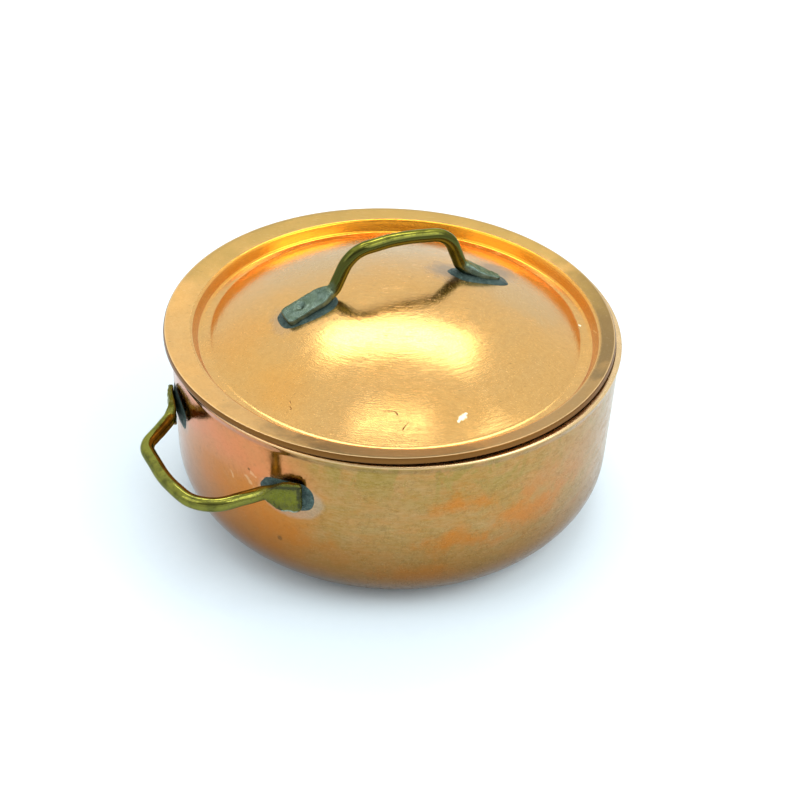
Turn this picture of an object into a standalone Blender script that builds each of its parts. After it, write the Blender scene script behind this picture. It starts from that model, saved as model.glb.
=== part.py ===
"""Miniature copper pan with a lift-off lid and hammered brass wire handles.

Frame: metres, +Z up, origin at the centre of the pan's flat base, side handle towards -X.
"""

import math

import bmesh
import bpy
from mathutils import Matrix, Vector

# Pan: one spun copper shell.
RIM_RADIUS = 0.0320
PAN_HEIGHT = 0.0263
SHEET = 0.0007
WALL_TOP_RADIUS = 0.0317
WALL_FOOT_RADIUS = 0.0313
CORNER_RADIUS = 0.0087
RIM_FLARE_HEIGHT = 0.0009
TURNS = 64

# Lid: a dished brim, a shallow well that drops into the pan, and a dome.
LID_CLEARANCE = 0.00015
BRIM_RADIUS = 0.03165
BRIM_EDGE_RISE = 0.00112
BRIM_OFFSET = Vector((-0.00060, 0.00054, 0.0))
CREST_RADIUS = 0.02865
CREST_RISE = 0.00034
WELL_RADIUS = 0.0279
WELL_DEPTH = 0.0017
WELL_FLOOR = PAN_HEIGHT + CREST_RISE - WELL_DEPTH
DOME_FOOT_RADIUS = 0.0264
DOME_RISE = 0.0075

# Handles: brass wire, its ends hammered flat and soldered on.
WIRE = 0.0019
SECTION_POINTS = 12
SOLDER_GAP = 0.0001
PADDLE_LENGTH = 0.0042
PADDLE_TAPER = 0.0026

# Side handle, in its own level plane: pairs are (distance towards +Y, distance from the pan's axis),
# and each foot is (radius, angle in degrees) around the pan's axis.
SIDE_HEIGHT = 0.0188
SIDE_BAR_CORNERS = ((-0.0083, 0.0397), (0.0071, 0.0381))
SIDE_BAR_MIDDLE = (-0.0012, 0.0401)
SIDE_BAR_BENDS = (0.0052, 0.0034)
SIDE_FOOT_NEAR = (0.0332, 18.6)
SIDE_FOOT_FAR = (0.0326, 27.4)
SIDE_PADDLE = (0.0044, 0.0008)
SIDE_PAD_ANGLE = 22.8
SIDE_PAD_DROP = 0.0004
SIDE_PAD_SIZE = (0.0084, 0.0049)
SIDE_PAD_THICKNESS = 0.0004

# Lid handle: a low arch over the dome's middle, with lengths along the arch and heights above its feet.
LID_HANDLE_TURN = math.radians(-16.5)
LID_HANDLE_SHIFT = Vector((0.0015, 0.0016, 0.0))
LID_ARCH_RISE = 0.0078
LID_ARCH_SHOULDER = (0.0074, 0.0070)
LID_ARCH_BENDS = (0.0044, 0.0040)
LID_LEG_FOOT = 0.0098
LID_FOOT_ENDS = (0.0168, 0.0156)
LID_PADDLE = (0.0036, 0.0009)
LID_PAD_SIZE = (0.0088, 0.0052)
LID_PAD_THICKNESS = 0.0005
LID_PAD_CENTRES = (-0.0137, 0.0130)


def clear_scene():
    for old in list(bpy.data.objects):
        bpy.data.objects.remove(old, do_unlink=True)


def material(name, colour, roughness, metallic=1.0):
    made = bpy.data.materials.new(name)
    made.use_nodes = True
    shader = made.node_tree.nodes["Principled BSDF"]
    shader.inputs["Base Color"].default_value = (*colour, 1.0)
    shader.inputs["Roughness"].default_value = roughness
    shader.inputs["Metallic"].default_value = metallic
    return made


def rounded(corners, steps=5):
    """A polyline through (x, y, radius) corners, each rounded by an arc of that radius."""
    points = []
    for index, (x, y, radius) in enumerate(corners):
        corner = Vector((x, y))
        if radius <= 0.0:
            points.append(corner)
            continue
        before = Vector(corners[index - 1][:2])
        after = Vector(corners[index + 1][:2])
        to_before = (before - corner).normalized()
        to_after = (after - corner).normalized()
        half_angle = to_before.angle(to_after) / 2
        reach = radius / math.tan(half_angle)
        centre = corner + (to_before + to_after).normalized() * radius / math.sin(half_angle)
        start = corner + to_before * reach - centre
        sweep = start.angle_signed(corner + to_after * reach - centre)
        for step in range(steps + 1):
            turn = Matrix.Rotation(-sweep * step / steps, 2)
            points.append(centre + turn @ start)
    return points


def shifted(points, distance):
    """The polyline moved sideways by distance, to the right of its direction of travel."""
    moved = []
    last = len(points) - 1
    for index, point in enumerate(points):
        ahead = (points[min(index + 1, last)] - point).normalized()
        behind = (point - points[max(index - 1, 0)]).normalized()
        if index == 0:
            behind = ahead
        if index == last:
            ahead = behind
        along = (ahead + behind).normalized()
        stretch = 1.0 / max(along.dot(ahead), 0.5)
        moved.append(point + Vector((along.y, -along.x)) * distance * stretch)
    return moved


def turned(name, profile, finish, collection):
    """A closed turned solid: the profile starts and ends on the axis and keeps the metal on its right."""
    mesh = bpy.data.meshes.new(name)
    verts = [(point.x, 0.0, point.y) for point in profile]
    edges = [(index, index + 1) for index in range(len(verts) - 1)]
    mesh.from_pydata(verts, edges, [])
    made = bpy.data.objects.new(name, mesh)
    collection.objects.link(made)
    screw = made.modifiers.new("turn", "SCREW")
    screw.steps = TURNS
    screw.render_steps = TURNS
    screw.use_merge_vertices = True
    screw.merge_threshold = 0.00001
    screw.use_smooth_shade = True
    mesh.materials.append(finish)
    return made


def pan_body(finish, collection):
    outer = rounded([
        (RIM_RADIUS - SHEET / 2, PAN_HEIGHT, 0.0),
        (RIM_RADIUS, PAN_HEIGHT, SHEET / 4),
        (RIM_RADIUS, PAN_HEIGHT - RIM_FLARE_HEIGHT / 2, 0.0),
        (WALL_TOP_RADIUS, PAN_HEIGHT - RIM_FLARE_HEIGHT, 0.0),
        (WALL_FOOT_RADIUS, 0.0, CORNER_RADIUS),
        (0.0, 0.0, 0.0),
    ], steps=7)
    inner = rounded([
        (0.0, SHEET, 0.0),
        (WALL_FOOT_RADIUS - SHEET, SHEET, CORNER_RADIUS - SHEET),
        (WALL_TOP_RADIUS - SHEET, PAN_HEIGHT - RIM_FLARE_HEIGHT, 0.0),
        (RIM_RADIUS - SHEET, PAN_HEIGHT - SHEET / 4, 0.0),
    ], steps=7)
    return turned("pan_body", inner + outer, finish, collection)


def dome_height(radius):
    """Height of the dome's upper face at this radius, before the lid's clearance is added."""
    share = min(radius / DOME_FOOT_RADIUS, 1.0)
    return WELL_FLOOR + DOME_RISE * (1.0 - share ** 2)


def lid_top():
    """The lid's upper face from its centre to the brim's edge."""
    dome = []
    rings = 10
    for ring in range(rings):
        radius = DOME_FOOT_RADIUS * ring / rings
        dome.append(Vector((radius, dome_height(radius))))
    rest = rounded([
        (dome[-1].x, dome[-1].y, 0.0),
        (DOME_FOOT_RADIUS, WELL_FLOOR, 0.0014),
        (WELL_RADIUS, WELL_FLOOR, 0.0005),
        (CREST_RADIUS, PAN_HEIGHT + CREST_RISE, 0.0005),
        (BRIM_RADIUS, PAN_HEIGHT + BRIM_EDGE_RISE, 0.0),
    ], steps=3)
    return dome[:-1] + rest


def lid_shell(finish, collection):
    """The turned lid, with its brim pushed off centre as the hand-trimmed one is."""
    top = lid_top()
    under = shifted(top, SHEET)
    under[0].x = 0.0
    profile = [point + Vector((0.0, LID_CLEARANCE)) for point in top + under[::-1]]
    blank = turned("lid_blank", profile, finish, collection)
    graph = bpy.context.evaluated_depsgraph_get()
    mesh = bpy.data.meshes.new_from_object(blank.evaluated_get(graph))
    bpy.data.objects.remove(blank)
    for vert in mesh.vertices:
        radius = math.hypot(vert.co.x, vert.co.y)
        share = (radius - CREST_RADIUS) / (BRIM_RADIUS - CREST_RADIUS)
        vert.co += BRIM_OFFSET * min(max(share, 0.0), 1.0)
    mesh.name = "lid_shell"
    made = bpy.data.objects.new("lid_shell", mesh)
    collection.objects.link(made)
    return made


def along(points, closeness):
    """The polyline resampled so that no two neighbours lie further apart than closeness."""
    out = [points[0]]
    for here, there in zip(points, points[1:]):
        pieces = max(1, math.ceil((there - here).length / closeness))
        out += [here.lerp(there, piece / pieces) for piece in range(1, pieces + 1)]
    return out


def smooth_step(value):
    value = min(max(value, 0.0), 1.0)
    return value * value * (3.0 - 2.0 * value)


def handle(name, route, paddle, place, finish, collection):
    """A wire lofted into a flat paddle at each end.

    The route runs in the handle's plane from foot to foot. place turns plane coordinates and the
    sideways direction into the handle's own frame.
    """
    width, thickness = paddle
    route = along(route, 0.0012)
    travelled = [0.0]
    for here, there in zip(route, route[1:]):
        travelled.append(travelled[-1] + (there - here).length)
    work = bmesh.new()
    rings = []
    for index, point in enumerate(route):
        ahead = route[min(index + 1, len(route) - 1)]
        behind = route[max(index - 1, 0)]
        direction = (ahead - behind).normalized()
        across = Vector((-direction.y, direction.x))
        from_end = min(travelled[index], travelled[-1] - travelled[index])
        flat = 1.0 - smooth_step((from_end - PADDLE_LENGTH) / PADDLE_TAPER)
        half_width = (WIRE + (width - WIRE) * flat) / 2
        half_thick = (WIRE + (thickness - WIRE) * flat) / 2
        power = 2.0 / (2.0 + 4.0 * flat)
        ring = []
        for step in range(SECTION_POINTS):
            angle = 2 * math.pi * (step + 0.5) / SECTION_POINTS
            side = math.copysign(abs(math.cos(angle)) ** power, math.cos(angle)) * half_width
            lift = math.copysign(abs(math.sin(angle)) ** power, math.sin(angle)) * half_thick
            ring.append(work.verts.new(place(point + across * lift, side)))
        rings.append(ring)
    for first, second in zip(rings, rings[1:]):
        for step in range(SECTION_POINTS):
            after = (step + 1) % SECTION_POINTS
            work.faces.new((first[step], first[after], second[after], second[step]))
    work.faces.new(rings[0][::-1])
    work.faces.new(rings[-1])
    bmesh.ops.recalc_face_normals(work, faces=work.faces)
    mesh = bpy.data.meshes.new(name)
    work.to_mesh(mesh)
    work.free()
    mesh.materials.append(finish)
    mesh.shade_smooth()
    mesh.set_sharp_from_angle(angle=math.radians(50))
    made = bpy.data.objects.new(name, mesh)
    collection.objects.link(made)
    return made


def side_handle(finish, collection):
    far, near = (
        Vector((radius * math.sin(math.radians(angle)), radius * math.cos(math.radians(angle))))
        for radius, angle in (SIDE_FOOT_FAR, SIDE_FOOT_NEAR)
    )
    front, rear = SIDE_BAR_CORNERS
    route = rounded([
        (-far.x, far.y, 0.0),
        (-near.x, near.y, 0.0012),
        (*front, SIDE_BAR_BENDS[0]),
        (*SIDE_BAR_MIDDLE, 0.0200),
        (*rear, SIDE_BAR_BENDS[1]),
        (near.x, near.y, 0.0012),
        (far.x, far.y, 0.0),
    ])

    def place(point, side):
        return Vector((-point.y, point.x, side))

    made = handle("side_handle", route, SIDE_PADDLE, place, finish, collection)
    made.location.z = SIDE_HEIGHT
    return made


def lid_face(x, y):
    return dome_height(math.hypot(x, y)) + LID_CLEARANCE


def lid_seat(x, y, lift):
    """A point lift above the dome, for x and y measured along and across the lid handle."""
    flat = Matrix.Rotation(LID_HANDLE_TURN, 3, "Z") @ Vector((x, y, 0.0)) + LID_HANDLE_SHIFT
    return flat + Vector((0.0, 0.0, lid_face(flat.x, flat.y) + lift))


def lid_handle(finish, collection):
    seats = [lid_seat(side * LID_LEG_FOOT, 0.0, 0.0).z for side in (-1, 1)]
    seat = sum(seats) / 2
    pad = SOLDER_GAP * 2 + LID_PAD_THICKNESS
    left_rise, right_rise = (
        pad + LID_PADDLE[1] / 2 - seat + sum(lid_seat(side * end, 0.0, 0.0).z for side in (-1, 1)) / 2
        for end in LID_FOOT_ENDS
    )
    shoulder, shoulder_rise = LID_ARCH_SHOULDER
    route = rounded([
        (-LID_FOOT_ENDS[0], left_rise, 0.0),
        (-LID_LEG_FOOT, pad + WIRE / 2, 0.0014),
        (-shoulder, shoulder_rise, LID_ARCH_BENDS[0]),
        (0.0, LID_ARCH_RISE, 0.0200),
        (shoulder, shoulder_rise, LID_ARCH_BENDS[1]),
        (LID_LEG_FOOT, pad + WIRE / 2, 0.0014),
        (LID_FOOT_ENDS[1], right_rise, 0.0),
    ])

    def place(point, side):
        return Vector((point.x, side, point.y))

    made = handle("lid_handle", route, LID_PADDLE, place, finish, collection)
    made.location = LID_HANDLE_SHIFT + Vector((0.0, 0.0, seat))
    made.rotation_euler.y = -math.atan2(seats[1] - seats[0], 2 * LID_LEG_FOOT)
    made.rotation_euler.z = LID_HANDLE_TURN
    return made


def solder_pad(name, size, thickness, surface, finish, collection):
    """A lens of solder lying on surface(a, b), which gives a point and an outward normal."""
    rings = 4
    spokes = 20
    work = bmesh.new()
    layers = []
    for level in (0, 1):
        layer = [[work.verts.new(surface(0.0, 0.0, SOLDER_GAP + level * thickness))]]
        for ring in range(1, rings + 1):
            share = ring / rings
            crown = thickness * (1.0 - 0.7 * share ** 3)
            loop = []
            for spoke in range(spokes):
                angle = 2 * math.pi * spoke / spokes
                a = math.copysign(abs(math.cos(angle)) ** 0.7, math.cos(angle)) * size[0] / 2 * share
                b = math.copysign(abs(math.sin(angle)) ** 0.7, math.sin(angle)) * size[1] / 2 * share
                loop.append(work.verts.new(surface(a, b, SOLDER_GAP + level * crown)))
            layer.append(loop)
        layers.append(layer)
    for layer in layers:
        for spoke in range(spokes):
            after = (spoke + 1) % spokes
            work.faces.new((layer[0][0], layer[1][spoke], layer[1][after]))
            for inner, outer in zip(layer[1:], layer[2:]):
                work.faces.new((inner[spoke], outer[spoke], outer[after], inner[after]))
    for spoke in range(spokes):
        after = (spoke + 1) % spokes
        below, above = layers[0][-1], layers[1][-1]
        work.faces.new((below[spoke], below[after], above[after], above[spoke]))
    bmesh.ops.recalc_face_normals(work, faces=work.faces)
    mesh = bpy.data.meshes.new(name)
    work.to_mesh(mesh)
    work.free()
    mesh.materials.append(finish)
    mesh.shade_smooth()
    mesh.set_sharp_from_angle(angle=math.radians(40))
    made = bpy.data.objects.new(name, mesh)
    collection.objects.link(made)
    return made


def side_pads(finish, collection):
    for side, name in ((-1, "side_solder_rear"), (1, "side_solder_front")):
        middle = math.radians(SIDE_PAD_ANGLE) * side

        def surface(a, b, lift, middle=middle):
            height = SIDE_HEIGHT - SIDE_PAD_DROP + b
            share = (height - CORNER_RADIUS) / (PAN_HEIGHT - CORNER_RADIUS)
            wall = WALL_FOOT_RADIUS + (WALL_TOP_RADIUS - WALL_FOOT_RADIUS) * share
            angle = middle + a / wall
            reach = wall + lift
            return Vector((-reach * math.cos(angle), -reach * math.sin(angle), height))

        solder_pad(name, SIDE_PAD_SIZE, SIDE_PAD_THICKNESS, surface, finish, collection)


def lid_pads(finish, collection):
    for centre, name in zip(LID_PAD_CENTRES, ("lid_solder_left", "lid_solder_right")):

        def surface(a, b, lift, centre=centre):
            return lid_seat(centre + a, b, lift)

        solder_pad(name, LID_PAD_SIZE, LID_PAD_THICKNESS, surface, finish, collection)


def main():
    clear_scene()
    scene = bpy.context.scene
    parts = bpy.data.collections.new("copper_saucepan")
    scene.collection.children.link(parts)
    copper = material("polished_copper", (0.86, 0.47, 0.26), 0.25)
    brass = material("yellow_brass", (0.72, 0.60, 0.25), 0.28)
    solder = material("tarnished_solder", (0.28, 0.36, 0.35), 0.5)
    pan_body(copper, parts)
    side_handle(brass, parts)
    side_pads(solder, parts)
    lid_shell(copper, parts)
    lid_handle(brass, parts)
    lid_pads(solder, parts)


main()
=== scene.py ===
import math

import bmesh
import bpy
from mathutils import Matrix, Vector, noise


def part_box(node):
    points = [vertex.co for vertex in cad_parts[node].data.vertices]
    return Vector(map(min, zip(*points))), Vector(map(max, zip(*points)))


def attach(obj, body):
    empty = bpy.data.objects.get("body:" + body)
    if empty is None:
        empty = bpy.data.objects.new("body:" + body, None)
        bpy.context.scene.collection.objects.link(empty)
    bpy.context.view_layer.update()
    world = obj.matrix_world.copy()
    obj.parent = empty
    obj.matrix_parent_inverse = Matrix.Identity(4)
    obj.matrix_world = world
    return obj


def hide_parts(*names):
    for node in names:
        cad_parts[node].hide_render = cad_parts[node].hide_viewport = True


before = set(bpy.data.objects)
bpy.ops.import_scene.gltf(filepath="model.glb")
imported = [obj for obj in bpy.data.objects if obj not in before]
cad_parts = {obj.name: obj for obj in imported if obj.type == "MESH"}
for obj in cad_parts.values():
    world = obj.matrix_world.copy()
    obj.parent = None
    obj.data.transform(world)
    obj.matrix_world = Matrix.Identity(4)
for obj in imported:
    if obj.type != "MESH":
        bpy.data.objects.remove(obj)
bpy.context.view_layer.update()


# Pan: one shell spun from sheet copper, with a flat base, a big rounded corner and a near-straight
# wall whose rim is upset a little thicker and turned out a hair. It has a spun finish, gone partly brown
# and olive, and was scrubbed bright on the side under the handle. Its wall is painted darker towards
# the foot as painted shade, and the rim's top edge carries a painted highlight.
PAN_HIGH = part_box("pan_body")[1]
RIM_RADIUS = PAN_HIGH.x
PAN_HEIGHT = PAN_HIGH.z
SHEET = 0.0007
WALL_TOP_RADIUS = RIM_RADIUS - 0.0003
WALL_FOOT_RADIUS = RIM_RADIUS - 0.0007
CORNER_RADIUS = 0.0087
RIM_FLARE_HEIGHT = 0.0009
RIM_LIP = 0.0011
RIM_LIP_HEIGHT = 0.0012
RIM_ROUNDING = 0.00028
PAN_SWELL = 0.00006
ARC_STEPS = 16
PAN_TURNS = 288
COPPER_TAN = (0.37, 0.195, 0.054)
COPPER_OLIVE = (0.27, 0.185, 0.036)
COPPER_BROWN = (0.16, 0.068, 0.017)
COPPER_ROSE = (0.62, 0.200, 0.070)
COPPER_ORANGE = (0.52, 0.165, 0.020)
COPPER_PALE = (0.44, 0.28, 0.135)
COPPER_BRIGHT = (0.80, 0.54, 0.28)
FLUX_GREY = (0.40, 0.38, 0.33)


def rounded_line(corners, steps):
    """A polyline through (x, y, radius) corners, each rounded by an arc of that radius."""
    points = []
    for index, (x, y, radius) in enumerate(corners):
        corner = Vector((x, y))
        if radius <= 0.0:
            points.append(corner)
            continue
        to_before = (Vector(corners[index - 1][:2]) - corner).normalized()
        to_after = (Vector(corners[index + 1][:2]) - corner).normalized()
        half_angle = to_before.angle(to_after) / 2
        centre = corner + (to_before + to_after).normalized() * radius / math.sin(half_angle)
        start = corner + to_before * radius / math.tan(half_angle) - centre
        end = corner + to_after * radius / math.tan(half_angle) - centre
        sweep = start.angle_signed(end)
        for step in range(steps + 1):
            points.append(centre + Matrix.Rotation(-sweep * step / steps, 2) @ start)
    return points


def spaced(points, gap):
    """The same line with extra points, so that no two neighbours lie further apart than the gap."""
    out = [points[0]]
    for here, there in zip(points, points[1:]):
        pieces = max(1, math.ceil((there - here).length / gap))
        out += [here.lerp(there, piece / pieces) for piece in range(1, pieces + 1)]
    return out


def into_scene(name, data):
    made = bpy.data.objects.new(name, data)
    bpy.context.scene.collection.objects.link(made)
    return made


def smooth_piece(name, work):
    """The finished bmesh as an object of its own, with its faces turned outward."""
    bmesh.ops.recalc_face_normals(work, faces=work.faces)
    mesh = bpy.data.meshes.new(name)
    work.to_mesh(mesh)
    work.free()
    mesh.shade_smooth()
    return into_scene(name, mesh)


def bridge(work, first, second):
    """A band of faces between two closed loops."""
    for here in range(len(first)):
        after = (here + 1) % len(first)
        work.faces.new((first[here], first[after], second[after], second[here]))


def fan(work, middle, loop):
    for here, corner in enumerate(loop):
        work.faces.new((middle, corner, loop[(here + 1) % len(loop)]))


def spin(name, profile, turns, hand_work):
    """Turns a profile that starts and ends on the axis, then moves each point by hand_work."""
    work = bmesh.new()
    columns = []
    for turn in range(turns):
        angle = 2 * math.pi * turn / turns
        across = Vector((math.cos(angle), math.sin(angle), 0.0))
        column = []
        for point in profile[1:-1]:
            place = across * point.x + Vector((0.0, 0.0, point.y))
            column.append(work.verts.new(place + hand_work(place)))
        columns.append(column)
    first = work.verts.new((0.0, 0.0, profile[0].y))
    last = work.verts.new((0.0, 0.0, profile[-1].y))
    for turn, column in enumerate(columns):
        after = columns[(turn + 1) % turns]
        work.faces.new((first, column[0], after[0]))
        work.faces.new((last, after[-1], column[-1]))
        for here in range(len(column) - 1):
            work.faces.new((column[here], column[here + 1], after[here + 1], after[here]))
    return smooth_piece(name, work)


def soft_wave(place, size, height):
    """A slow random swelling, as hand work leaves it."""
    return noise.noise(place / size) * height


def pan_hand_work(place):
    outward = Vector((place.x, place.y, 0.0))
    if outward.length < 1e-6 or place.z < 0.001:
        return Vector()
    outward.normalize()
    around = Vector((outward.x, outward.y, 0.0)) * 0.010
    swell = soft_wave(around + Vector((0, 0, place.z * 0.5)), 0.006, PAN_SWELL)
    rim_share = max(0.0, place.z / PAN_HEIGHT - 0.9) * 10
    dip = soft_wave(around + Vector((3.0, 0.0, 0.0)), 0.005, PAN_SWELL) * rim_share
    return outward * swell + Vector((0.0, 0.0, dip))


def pan_profile():
    outer = rounded_line([
        (RIM_RADIUS - RIM_LIP / 2, PAN_HEIGHT, 0.0),
        (RIM_RADIUS, PAN_HEIGHT, RIM_ROUNDING),
        (RIM_RADIUS - 0.00005, PAN_HEIGHT - RIM_FLARE_HEIGHT * 0.5, 0.0006),
        (WALL_TOP_RADIUS, PAN_HEIGHT - RIM_FLARE_HEIGHT * 1.4, 0.0016),
        (WALL_FOOT_RADIUS, 0.0, CORNER_RADIUS),
        (0.0, 0.0, 0.0),
    ], ARC_STEPS)
    inner = rounded_line([
        (0.0, SHEET, 0.0),
        (WALL_FOOT_RADIUS - SHEET, SHEET, CORNER_RADIUS - SHEET),
        (WALL_TOP_RADIUS - SHEET, PAN_HEIGHT - RIM_LIP_HEIGHT * 1.6, 0.0008),
        (RIM_RADIUS - RIM_LIP, PAN_HEIGHT - RIM_LIP_HEIGHT, 0.0003),
        (RIM_RADIUS - RIM_LIP, PAN_HEIGHT, RIM_ROUNDING),
        (RIM_RADIUS - RIM_LIP / 2, PAN_HEIGHT, 0.0),
    ], ARC_STEPS)
    return spaced(inner[:-1] + outer, 0.0012)


def add(tree, kind, sockets=None, **settings):
    """A node with its settings, its sockets given a value or joined to another node's socket."""
    made = tree.nodes.new(kind)
    for setting, value in settings.items():
        setattr(made, setting, value)
    for socket, value in (sockets or {}).items():
        if isinstance(value, bpy.types.NodeSocket):
            tree.links.new(value, made.inputs[socket])
        else:
            made.inputs[socket].default_value = value
    return made


def maths(tree, operation, first, second=0.0):
    return add(tree, "ShaderNodeMath", {0: first, 1: second}, operation=operation).outputs[0]


def times(tree, first, second):
    return maths(tree, "MULTIPLY", first, second)


def plus(tree, first, second):
    return maths(tree, "ADD", first, second)


def vector_maths(tree, operation, first, second):
    return add(tree, "ShaderNodeVectorMath", {0: first, 1: second}, operation=operation).outputs


def scaled(tree, vector, factor):
    return add(tree, "ShaderNodeVectorMath", {0: vector, "Scale": factor}, operation="SCALE").outputs[0]


def vector_length(tree, vector):
    return add(tree, "ShaderNodeVectorMath", {0: vector}, operation="LENGTH").outputs["Value"]


def split(tree, vector):
    return add(tree, "ShaderNodeSeparateXYZ", {0: vector}).outputs


def length_across(tree, parts):
    """The distance from the upright axis of a separated place."""
    across = times(tree, parts[0], parts[0])
    aside = times(tree, parts[1], parts[1])
    return maths(tree, "SQRT", plus(tree, across, aside))


def ramp(tree, value, low, high, out_low=0.0, out_high=1.0):
    """Smooth passage from out_low to out_high as the value goes from low to high."""
    made = add(tree, "ShaderNodeMapRange", {
        "Value": value, "From Min": low, "From Max": high, "To Min": out_low, "To Max": out_high,
    }, interpolation_type="SMOOTHSTEP")
    return made.outputs["Result"]


def blend_colour(tree, share, below, above):
    made = add(tree, "ShaderNodeMix", {"Factor": share}, data_type="RGBA")
    for socket, colour in ((made.inputs[6], below), (made.inputs[7], above)):
        if isinstance(colour, bpy.types.NodeSocket):
            tree.links.new(colour, socket)
        else:
            socket.default_value = (*colour, 1.0)
    return made.outputs[2]


def wash(tree, colour, *layers):
    """The colour with thin layers over it, each one a colour, a mask and a strength."""
    for over, mask, strength in layers:
        colour = blend_colour(tree, times(tree, mask, strength), colour, over)
    return colour


def added(tree, value, layers):
    """The value with each mask of the layers added to it, times its share."""
    for mask, share in layers:
        value = plus(tree, value, times(tree, mask, share))
    return value


def start_group(name, takes, gives):
    """A new group with inputs by name and value, and outputs by name, each one a number."""
    tree = bpy.data.node_groups.new(name, "ShaderNodeTree")
    for label, value in takes.items():
        kind = "NodeSocketVector" if isinstance(value, tuple) else "NodeSocketFloat"
        tree.interface.new_socket(label, in_out="INPUT", socket_type=kind).default_value = value
    for label in gives:
        tree.interface.new_socket(label, in_out="OUTPUT", socket_type="NodeSocketFloat")
    return tree, tree.nodes.new("NodeGroupInput").outputs, tree.nodes.new("NodeGroupOutput").inputs


def place_group(tree, group, sockets):
    return add(tree, "ShaderNodeGroup", sockets, node_tree=group).outputs


def object_place(tree):
    return add(tree, "ShaderNodeTexCoord").outputs["Object"]


def make_turning_marks():
    """Fine rings left by the spinning tool and the polishing mop, all round the axis."""
    tree, takes, gives = start_group("turning_marks", {
        "Fineness": 9000.0, "Break": 6.0,
    }, ["Height", "Streak"])
    parts = split(tree, object_place(tree))
    across = length_across(tree, parts)
    safe = maths(tree, "MAXIMUM", across, 0.0005)
    vector = add(tree, "ShaderNodeCombineXYZ", {
        0: times(tree, across, takes["Fineness"]),
        1: times(tree, maths(tree, "DIVIDE", parts[0], safe), takes["Break"]),
        2: times(tree, maths(tree, "DIVIDE", parts[1], safe), takes["Break"]),
    }).outputs[0]
    fine = add(tree, "ShaderNodeTexNoise", {
        "Vector": vector, "W": times(tree, parts[2], takes["Fineness"]),
        "Scale": 1.0, "Detail": 4.0, "Roughness": 0.65,
    }, noise_dimensions="4D").outputs[0]
    tree.links.new(fine, gives["Height"])
    tree.links.new(ramp(tree, fine, 0.46, 0.72), gives["Streak"])
    return tree


def make_patch():
    """A spot on the surface with a ragged, fading edge, for stains, halos and rubbed places, and for painted
    shade and reflection.
    """
    tree, takes, gives = start_group("ragged_patch", {
        "Centre": (0.0, 0.0, 0.0), "Stretch": (1.0, 1.0, 1.0), "Reach": 0.01, "Core": 0.4,
        "Ragged": 0.3, "Grain": 300.0,
    }, ["Mask"])
    place = object_place(tree)
    apart = vector_maths(tree, "SUBTRACT", place, takes["Centre"])[0]
    apart = vector_maths(tree, "MULTIPLY", apart, takes["Stretch"])[0]
    away = vector_length(tree, apart)
    share = maths(tree, "DIVIDE", away, takes["Reach"])
    cloud = add(tree, "ShaderNodeTexNoise", {
        "Vector": place, "Scale": takes["Grain"], "Detail": 5.0, "Roughness": 0.6,
    }).outputs[0]
    shake = times(tree, maths(tree, "SUBTRACT", cloud, 0.5), takes["Ragged"])
    shaken = plus(tree, share, times(tree, shake, 4.0))
    tree.links.new(ramp(tree, shaken, takes["Core"], 1.0, 1.0, 0.0), gives["Mask"])
    return tree


def make_stains():
    """Cloudy oxide and finger stains."""
    tree, takes, gives = start_group("oxide_clouds", {
        "Size": 0.008, "Stretch": (1.0, 1.0, 1.0), "Seed": 0.0,
    }, ["Cloud", "Mottle", "Grain", "Speck"])
    place = vector_maths(tree, "MULTIPLY", object_place(tree), takes["Stretch"])[0]
    broad_scale = maths(tree, "DIVIDE", 1.0, takes["Size"])
    broad = add(tree, "ShaderNodeTexNoise", {
        "Vector": place, "W": takes["Seed"], "Scale": broad_scale,
        "Detail": 6.0, "Roughness": 0.62, "Distortion": 0.6,
    }, noise_dimensions="4D").outputs[0]
    fine = add(tree, "ShaderNodeTexNoise", {
        "Vector": place, "W": takes["Seed"], "Scale": times(tree, broad_scale, 6.0),
        "Detail": 5.0, "Roughness": 0.7,
    }, noise_dimensions="4D").outputs[0]
    grains = add(tree, "ShaderNodeTexNoise", {
        "Vector": place, "W": takes["Seed"], "Scale": times(tree, broad_scale, 26.0),
        "Detail": 2.0, "Roughness": 0.5,
    }, noise_dimensions="4D").outputs[0]
    tree.links.new(ramp(tree, broad, 0.32, 0.70), gives["Cloud"])
    tree.links.new(ramp(tree, fine, 0.32, 0.70), gives["Mottle"])
    tree.links.new(ramp(tree, grains, 0.30, 0.70), gives["Grain"])
    tree.links.new(ramp(tree, grains, 0.64, 0.74), gives["Speck"])
    return tree


def make_scratch():
    """One scratch, straight between two points."""
    tree, takes, gives = start_group("scratch", {
        "From": (0.0, 0.0, 0.0), "To": (0.001, 0.0, 0.0), "Width": 0.0001,
    }, ["Mask"])
    place = object_place(tree)
    cloud = add(tree, "ShaderNodeTexNoise", {"Vector": place, "Scale": 1500.0, "Detail": 2.0})
    wobble = vector_maths(tree, "SUBTRACT", cloud.outputs["Color"], (0.5, 0.5, 0.5))[0]
    place = vector_maths(tree, "ADD", place, scaled(tree, wobble, 0.0006))[0]
    line = vector_maths(tree, "SUBTRACT", takes["To"], takes["From"])[0]
    apart = vector_maths(tree, "SUBTRACT", place, takes["From"])[0]
    along = vector_maths(tree, "DOT_PRODUCT", apart, line)["Value"]
    whole = vector_maths(tree, "DOT_PRODUCT", line, line)["Value"]
    share = maths(tree, "MINIMUM", maths(tree, "MAXIMUM", maths(tree, "DIVIDE", along, whole), 0.0), 1.0)
    nearest = scaled(tree, line, share)
    away = vector_length(tree, vector_maths(tree, "SUBTRACT", apart, nearest)[0])
    tree.links.new(ramp(tree, away, times(tree, takes["Width"], 0.4), takes["Width"], 1.0, 0.0),
                   gives["Mask"])
    return tree


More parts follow.
